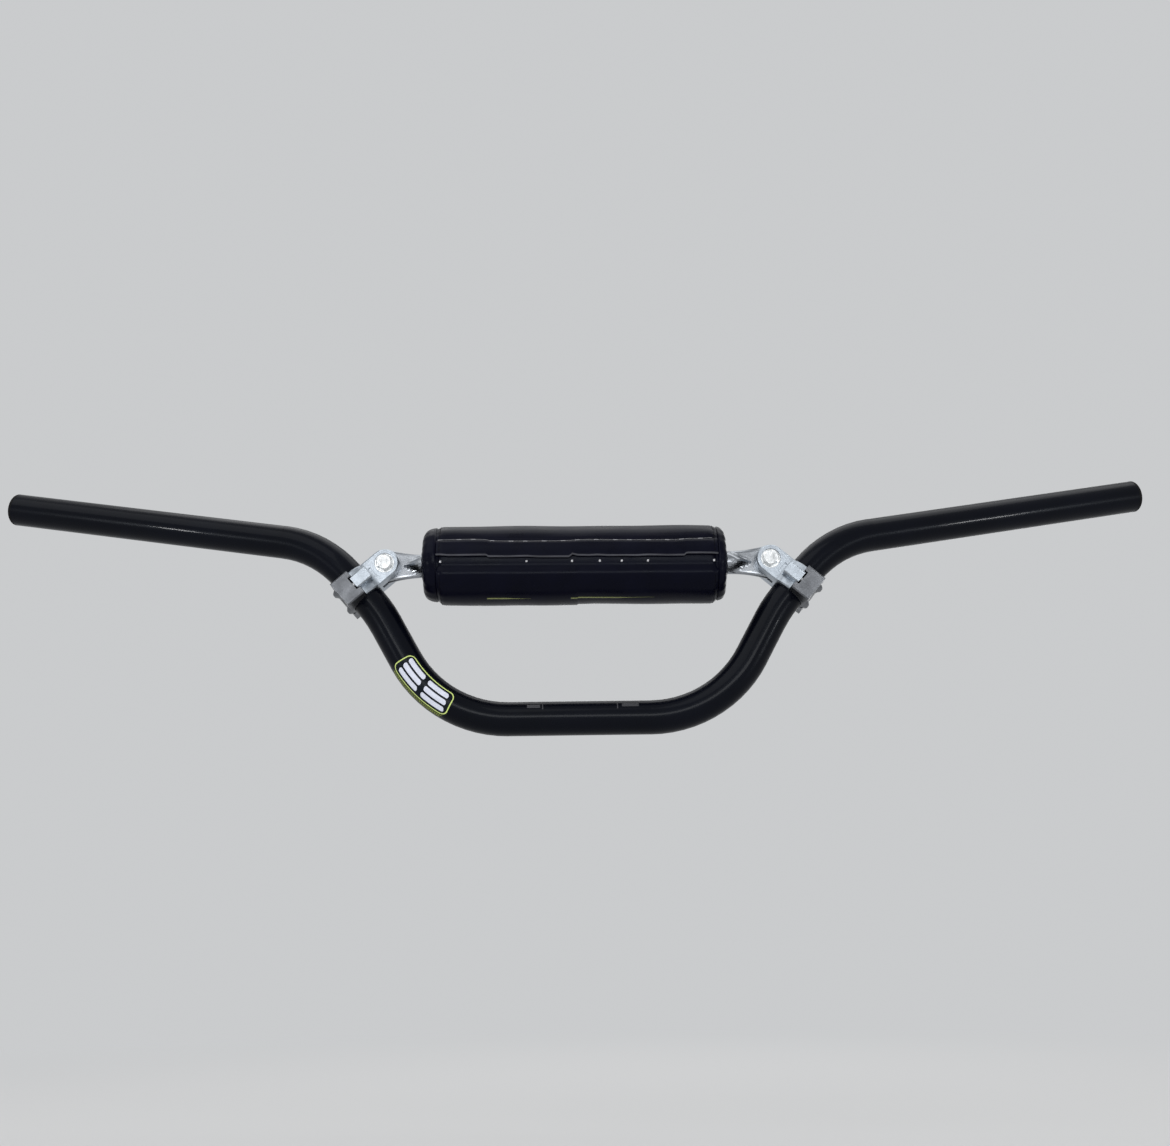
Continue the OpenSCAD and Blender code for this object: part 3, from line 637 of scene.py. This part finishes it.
def accent_band(name, first, last, width, taper_from, lift, material):
    """A printed band low on the front of the panel that narrows to nothing at its right end."""
    xs = np.linspace(first, last, 120) - COVER_SHIFT
    tail = smooth(last - COVER_SHIFT + 0.01, taper_from - COVER_SHIFT, xs)
    across = np.linspace(-0.5, 0.5, 9)
    deg = ACCENT_DEG + across[None, :] * (width * (0.08 + 0.92 * tail))[:, None] * DEG_PER_MM
    grid_x = np.broadcast_to(xs[:, None], deg.shape)
    points = pad_point(grid_x, deg, cover_radius(grid_x, deg) + lift)
    piece = mesh_piece(name, points.reshape(-1, 3), grid_faces(len(xs), len(across)), material)
    return solidify(piece, 0.05)


def accent_lines(olive, pale):
    """Two printed accents: each a dull green band with a pale line along it."""
    for k, (first, band_last, line_last) in enumerate(((-60.0, -40.0, -31.0), (-5.0, 34.0, 50.0))):
        accent_band(f"pad_accent_band_{k + 1}", first, band_last, 2.2, band_last - 8, 0.06, olive)
        accent_band(f"pad_accent_line_{k + 1}", first + 0.4, line_last, 0.55, first + 10, 0.13, pale)


# Decal and marks on the tube

def bend_point(s, width, lift):
    """A place on the left lower bend: s along its centreline from the base, width round the tube from its
    front toward the outside of the bend, both in millimetres."""
    s, width = np.broadcast_arrays(np.asarray(s, float), np.asarray(width, float))
    a, t = s / BEND_R, width / TUBE_R
    r = TUBE_R + 0.05 + lift
    out = BEND_R + r * np.sin(t)
    return np.stack([-BASE_HALF - out * np.sin(a), -r * np.cos(t), BEND_R - out * np.cos(a)], -1)


def draped(name, places, rows, columns, lift, thickness, material):
    """A film with its grid of places (s, width) laid on the bend."""
    points = bend_point(places[..., 0], places[..., 1], lift)
    piece = mesh_piece(name, points.reshape(-1, 3), grid_faces(rows, columns), material)
    return solidify(piece, thickness)


def rounded_block(s0, s1, w0, w1, corner, slant=0.0, rows=41, columns=17):
    """Grid of places that fills a rounded, slanted block."""
    s = np.linspace(s0, s1, rows)
    inset = np.maximum(corner - np.minimum(s - s0, s1 - s), 0)
    trim = corner - np.sqrt(np.maximum(corner ** 2 - inset ** 2, 0))
    share = np.linspace(0, 1, columns)[None, :]
    low, high = (w0 + trim)[:, None], (w1 - trim)[:, None]
    width = low + (high - low) * share
    along = s[:, None] + slant * (width - (w0 + w1) / 2)
    return np.stack([np.broadcast_to(along, width.shape), width], -1)


def frame_ring(s0, s1, w0, w1, corner, band, count=160):
    """Grid of places for a closed rounded border of a given band width."""
    def outline(inset):
        c = max(corner - inset, 0.3)
        centres = [(s1 - inset - c, w1 - inset - c, 0), (s0 + inset + c, w1 - inset - c, 90),
                   (s0 + inset + c, w0 + inset + c, 180), (s1 - inset - c, w0 + inset + c, 270)]
        arcs = [(cs + c * math.cos(math.radians(d)), cw + c * math.sin(math.radians(d)))
                for cs, cw, start in centres for d in np.linspace(start, start + 90, 12)]
        arcs.append(arcs[0])
        lengths = np.concatenate([[0], np.cumsum(np.hypot(*np.diff(np.array(arcs), axis=0).T))])
        at = np.linspace(0, lengths[-1], count)
        return np.stack([np.interp(at, lengths, np.array(arcs)[:, k]) for k in (0, 1)], -1)
    return np.stack([outline(0.0), outline(band / 2), outline(band)], 1)


def side_decal(green, white, dark, hatch):
    """A generic sticker: a rounded green border on a dark field, slanted white bars and a hatched edge."""
    film = draped("decal_field", rounded_block(37.8, 81.6, -6.4, 14.2, 4.5, columns=33), 41, 33, 0.0, 0.08, dark)
    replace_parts(film, "side_decal")
    draped("decal_border", frame_ring(37.8, 81.6, -6.4, 10.6, 4.5, 0.75), 160, 3, 0.09, 0.03, green)
    for k, (s0, s1) in enumerate(((41.0, 58.2), (61.4, 78.4))):
        for j in range(3):
            w = -4.3 + 4.6 * j
            shift = 1.3 * (1 - j)
            block = rounded_block(s0 + shift * 0.5, s1 + shift * 0.5, w, w + 3.3, 1.4, slant=-0.25)
            draped(f"decal_bar_{k * 3 + j + 1}", block, 41, 17, 0.09, 0.03, white)
    edge = [rounded_block(39.6, 79.8, 11.4, 11.8, 0.2, rows=61, columns=3),
            rounded_block(41.0, 78.4, 13.4, 13.8, 0.2, rows=61, columns=3)]
    for k, places in enumerate(edge):
        draped(f"decal_edge_line_{k + 1}", places, 61, 3, 0.09, 0.03, hatch)
    verts, faces = [], []
    for s in np.arange(41.5, 78.5, 1.35):
        places = rounded_block(s, s + 0.8, 12.1, 13.1, 0.2, slant=-0.4, rows=4, columns=4)
        faces += grid_faces(4, 4, len(verts))
        verts += list(bend_point(places[..., 0], places[..., 1], 0.09).reshape(-1, 3))
    solidify(mesh_piece("decal_hatching", verts, faces, hatch), 0.03)


def alignment_marks(material):
    """Printed marks either side of the clamp zone's middle, on the upper front of the tube."""
    blocks = [(-33.9, -25.4, -44, -30), (-24.2, -23.5, -47, -24), (24.1, 24.8, -47, -24), (27.3, 38.2, -46, -32)]
    verts, faces = [], []
    for x0, x1, t0, t1 in blocks:
        xs, ts = np.linspace(x0, x1, 12), np.radians(np.linspace(t0, t1, 8))
        grid_x, grid_t = np.meshgrid(xs, ts, indexing="ij")
        r = TUBE_R + 0.02
        faces += grid_faces(12, 8, len(verts))
        verts += list(np.stack([grid_x, -r * np.cos(grid_t), -r * np.sin(grid_t)], -1).reshape(-1, 3))
    return solidify(mesh_piece("alignment_marks", verts, faces, material), 0.03)


# Camera, floor and light

CAMERA_DISTANCE = 0.950
CAMERA_AZIMUTH = -0.45
CAMERA_ELEVATION = -14.89
CAMERA_ROLL = 0.82
CAMERA_LENS = 43.83
CAMERA_TARGET = (0.00476, 0.0, 0.09752)
FLOOR_Z = -0.26
FLOOR_NEAR = 0.5
FLOOR_FAR = 1.3


def make_camera():
    a, e = math.radians(CAMERA_AZIMUTH), math.radians(CAMERA_ELEVATION)
    back = Vector((math.sin(a) * math.cos(e), -math.cos(a) * math.cos(e), math.sin(e)))
    right = Vector((math.cos(a), math.sin(a), 0.0))
    up = right.cross(-back)
    axes = Matrix((right, up, back)).transposed() @ Matrix.Rotation(math.radians(-CAMERA_ROLL), 3, "Z")
    data = bpy.data.cameras.new("photo_camera")
    data.lens, data.sensor_width = CAMERA_LENS, 36.0
    data.clip_start, data.clip_end = 0.01, 200.0
    camera = bpy.data.objects.new("photo_camera", data)
    bpy.context.scene.collection.objects.link(camera)
    camera.matrix_world = Matrix.Translation(Vector(CAMERA_TARGET) + CAMERA_DISTANCE * back) @ axes.to_4x4()
    bpy.context.scene.camera = camera


def make_world():
    """An even pale surround."""
    world = bpy.data.worlds.new("studio")
    bpy.context.scene.world = world
    world.use_nodes = True
    surround = world.node_tree.nodes["Background"]
    surround.inputs["Color"].default_value = (*STUDIO, 1.0)
    surround.inputs["Strength"].default_value = 1.0


def make_floor():
    """A wide pale floor that keeps the object's shadow and melts into the surround further out."""
    size = 40.0
    data = bpy.data.meshes.new("floor")
    data.from_pydata([(-size, -size, FLOOR_Z), (size, -size, FLOOR_Z), (size, size, FLOOR_Z), (-size, size, FLOOR_Z)],
                     [], [(0, 1, 2, 3)])
    floor = bpy.data.objects.new("floor", data)
    bpy.context.scene.collection.objects.link(floor)
    mat, tree, shader = new_material("pale_floor")
    shader.inputs["Base Color"].default_value = (0.61, 0.61, 0.61, 1.0)
    shader.inputs["Roughness"].default_value = 0.9
    shader.inputs["Specular IOR Level"].default_value = 0.1
    glow = add(tree, "Emission", {"Color": (*STUDIO, 1.0), "Strength": 1.0})
    reach = add(tree, "VectorMath", operation="LENGTH")
    tree.links.new(add(tree, "TexCoord").outputs["Object"], reach.inputs[0])
    fade = add(tree, "MapRange", {"From Min": FLOOR_NEAR, "From Max": FLOOR_FAR}, interpolation_type="SMOOTHSTEP")
    tree.links.new(reach.outputs["Value"], fade.inputs["Value"])
    mix = add(tree, "MixShader")
    tree.links.new(fade.outputs["Result"], mix.inputs["Fac"])
    tree.links.new(shader.outputs[0], mix.inputs[1])
    tree.links.new(glow.outputs[0], mix.inputs[2])
    tree.links.new(mix.outputs[0], tree.nodes["Material Output"].inputs["Surface"])
    data.materials.append(mat)


def soft_lamp(name, place, target, size, power):
    data = bpy.data.lights.new(name, "AREA")
    data.shape, data.size, data.size_y = "RECTANGLE", *size
    data.energy = power
    lamp = bpy.data.objects.new(name, data)
    bpy.context.scene.collection.objects.link(lamp)
    lamp.location = place
    lamp.rotation_mode = "QUATERNION"
    lamp.rotation_quaternion = (Vector(target) - Vector(place)).to_track_quat("-Z", "Y")


def make_lamps():
    """Soft boxes above, in front and behind, and a small lamp on each side for the glints on the arms."""
    soft_lamp("key", (-0.9, -1.2, 1.5), (0.0, 0.0, 0.08), (2.0, 1.4), 9.0)
    soft_lamp("left_front", (-0.35, -1.75, 0.5), (-0.1, 0.0, 0.09), (0.5, 0.4), 0.2)
    soft_lamp("front", (0.0, -1.8, 0.24), (0.0, 0.0, 0.03), (1.5, 0.34), 8.0)
    soft_lamp("top", (0.2, 0.4, 1.7), (0.0, 0.0, 0.08), (2.2, 1.2), 11.0)
    soft_lamp("back", (0.4, 1.9, 0.6), (0.0, 0.0, 0.08), (1.6, 0.8), 6.0)
    soft_lamp("left_glint", (-1.178, -0.847, -0.024), (-0.26, 0.0, 0.13), (0.05, 0.1), 1.4)
    soft_lamp("right_glint", (1.193, -0.815, -0.067), (0.28, 0.0, 0.135), (0.11, 0.1), 1.9)


def dress_cad_nodes():
    """Gives each kept CAD node its own finish."""
    paint, plastic, polished = paint_material(), plastic_material(), polished_material()
    body = cast_material("tumbled_casting", CAST, 0.28, 0.42, 0.00006)
    cap = cast_material("dull_casting", CAP_CAST, 0.34, 0.5, 0.0001)
    screw = plated_material("zinc_screw", SCREW, 0.24, 0.36)
    zinc = plated_material("bright_zinc", ZINC, 0.16, 0.3)
    finishes = {"handlebar_tube": paint, "bar_end_plug": plastic, "crossbar_tube": polished, "clamp_body": body,
                "clamp_cap": cap, "clamp_screw": screw, "pivot_bolt": zinc, "pivot_nut": zinc}
    for name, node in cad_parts.items():
        for start, material in finishes.items():
            if name.startswith(start):
                node.data.materials.clear()
                node.data.materials.append(material)


def make_pad():
    vinyl, foam, tape = vinyl_material(), foam_material(), tape_material()
    main_panel(vinyl, painted_edge_highlight_material())
    for side in (-1, 1):
        gusset(side, vinyl)
    pad_core(foam)
    closure_strip("loop_strip", "pad_loop_strip", VINYL + 1.45, tape)
    closure_strip("hook_strip", "pad_hook_strip", VINYL + 0.85, tape)
    stitches(thread_material("grey_thread", THREAD_GREY), thread_material("pale_thread_highlight", THREAD_PALE_HIGHLIGHT),
             thread_material("black_thread", THREAD_BLACK, 0.06), thread_material("light_thread_glints", THREAD_LIGHT_GLINT))
    accent_lines(print_material("pad_print_green", PRINT_OLIVE), print_material("pad_print_pale", PRINT_PALE))


make_camera()
make_world()
make_floor()
make_lamps()
dress_cad_nodes()
make_pad()
side_decal(print_material("decal_green", PRINT_GREEN), print_material("decal_white", PRINT_WHITE),
           print_material("decal_dark", PRINT_DARK, 0.25, 0.1), print_material("decal_hatch", PRINT_HATCH))
alignment_marks(print_material("mark_grey", MARK_GREY, 0.4))

scene = bpy.context.scene
scene.view_settings.view_transform = "Standard"
